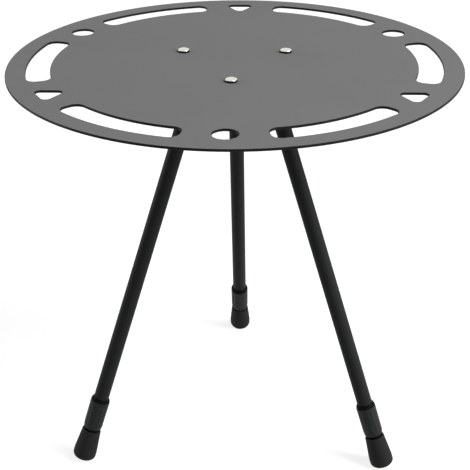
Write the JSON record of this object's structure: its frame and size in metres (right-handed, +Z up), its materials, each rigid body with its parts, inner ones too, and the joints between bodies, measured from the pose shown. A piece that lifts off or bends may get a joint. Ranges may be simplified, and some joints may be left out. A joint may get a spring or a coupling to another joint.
{
  "type": "folding camping table",
  "caption": "Round slotted metal table top on a hub with hinged, telescopic tubular legs that fold together.",
  "frame": {"origin": "on the ground, straight below the middle of the table top", "axes": "+Z up, +Y towards the back leg, +X to the right seen from the front"},
  "size_m": [0.45, 0.45, 0.4274],
  "materials": {
    "grey_aluminium": "grey satin anodised plate",
    "black_aluminium": "black satin anodised tube",
    "black_casting": "black powder coated casting",
    "black_nylon": "black moulded nylon",
    "pale_nylon": "natural moulded nylon",
    "black_rubber": "black matt rubber",
    "bright_steel": "bright stainless steel"
  },
  "bodies": {
    "table": {"table_top": "grey_aluminium", "leg_hub": "black_casting", "right_top_bolt": "bright_steel", "right_top_washer": "bright_steel", "right_top_nut": "bright_steel", "left_top_bolt": "bright_steel", "left_top_washer": "bright_steel", "left_top_nut": "bright_steel", "front_top_bolt": "bright_steel", "front_top_washer": "bright_steel", "front_top_nut": "bright_steel", "back_hinge_bolt": "bright_steel", "back_hinge_nut": "bright_steel", "back_hinge_washer_head_side": "black_nylon", "back_hinge_washer_nut_side": "black_nylon", "left_hinge_bolt": "bright_steel", "left_hinge_nut": "bright_steel", "left_hinge_washer_head_side": "black_nylon", "left_hinge_washer_nut_side": "black_nylon", "right_hinge_bolt": "bright_steel", "right_hinge_nut": "bright_steel", "right_hinge_washer_head_side": "black_nylon", "right_hinge_washer_nut_side": "black_nylon"},
    "back_leg": {"back_leg_head": "black_casting", "back_outer_tube": "black_aluminium", "back_head_rivet": "bright_steel", "back_lock_ferrule": "black_nylon", "back_lock_collet": "pale_nylon"},
    "back_lock": {"back_lock_collar": "black_nylon"},
    "back_extension": {"back_inner_tube": "black_aluminium", "back_guide_plug": "black_nylon", "back_foot_plug": "black_nylon", "back_rubber_foot": "black_rubber"},
    "left_leg": {"left_leg_head": "black_casting", "left_outer_tube": "black_aluminium", "left_head_rivet": "bright_steel", "left_lock_ferrule": "black_nylon", "left_lock_collet": "pale_nylon"},
    "left_lock": {"left_lock_collar": "black_nylon"},
    "left_extension": {"left_inner_tube": "black_aluminium", "left_guide_plug": "black_nylon", "left_foot_plug": "black_nylon", "left_rubber_foot": "black_rubber"},
    "right_leg": {"right_leg_head": "black_casting", "right_outer_tube": "black_aluminium", "right_head_rivet": "bright_steel", "right_lock_ferrule": "black_nylon", "right_lock_collet": "pale_nylon"},
    "right_lock": {"right_lock_collar": "black_nylon"},
    "right_extension": {"right_inner_tube": "black_aluminium", "right_guide_plug": "black_nylon", "right_foot_plug": "black_nylon", "right_rubber_foot": "black_rubber"}
  },
  "joints": [
    {"name": "back_leg_fold", "type": "hinge", "parent": "table", "child": "back_leg", "pos_m": [0, 0.0443, 0.402], "axis": [-1, 0, 0], "range_deg": [0, 22]},
    {"name": "back_lock_twist", "type": "hinge", "parent": "back_leg", "child": "back_lock", "pos_m": [0, 0.0443, 0.402], "axis": [0, 0.3387, -0.9409], "range_deg": [0, 150]},
    {"name": "back_leg_slide", "type": "slide", "parent": "back_leg", "child": "back_extension", "axis": [0, 0.3387, -0.9409], "range_m": [0, 0.2]},
    {"name": "left_leg_fold", "type": "hinge", "parent": "table", "child": "left_leg", "pos_m": [-0.03836, -0.02215, 0.402], "axis": [0.5, -0.866, 0], "range_deg": [0, 22]},
    {"name": "left_lock_twist", "type": "hinge", "parent": "left_leg", "child": "left_lock", "pos_m": [-0.03836, -0.02215, 0.402], "axis": [-0.2934, -0.1694, -0.9409], "range_deg": [0, 150]},
    {"name": "left_leg_slide", "type": "slide", "parent": "left_leg", "child": "left_extension", "axis": [-0.2934, -0.1694, -0.9409], "range_m": [0, 0.2]},
    {"name": "right_leg_fold", "type": "hinge", "parent": "table", "child": "right_leg", "pos_m": [0.03836, -0.02215, 0.402], "axis": [0.5, 0.866, 0], "range_deg": [0, 22]},
    {"name": "right_lock_twist", "type": "hinge", "parent": "right_leg", "child": "right_lock", "pos_m": [0.03836, -0.02215, 0.402], "axis": [0.2934, -0.1694, -0.9409], "range_deg": [0, 150]},
    {"name": "right_leg_slide", "type": "slide", "parent": "right_leg", "child": "right_extension", "axis": [0.2934, -0.1694, -0.9409], "range_m": [0, 0.2]}
  ]
}
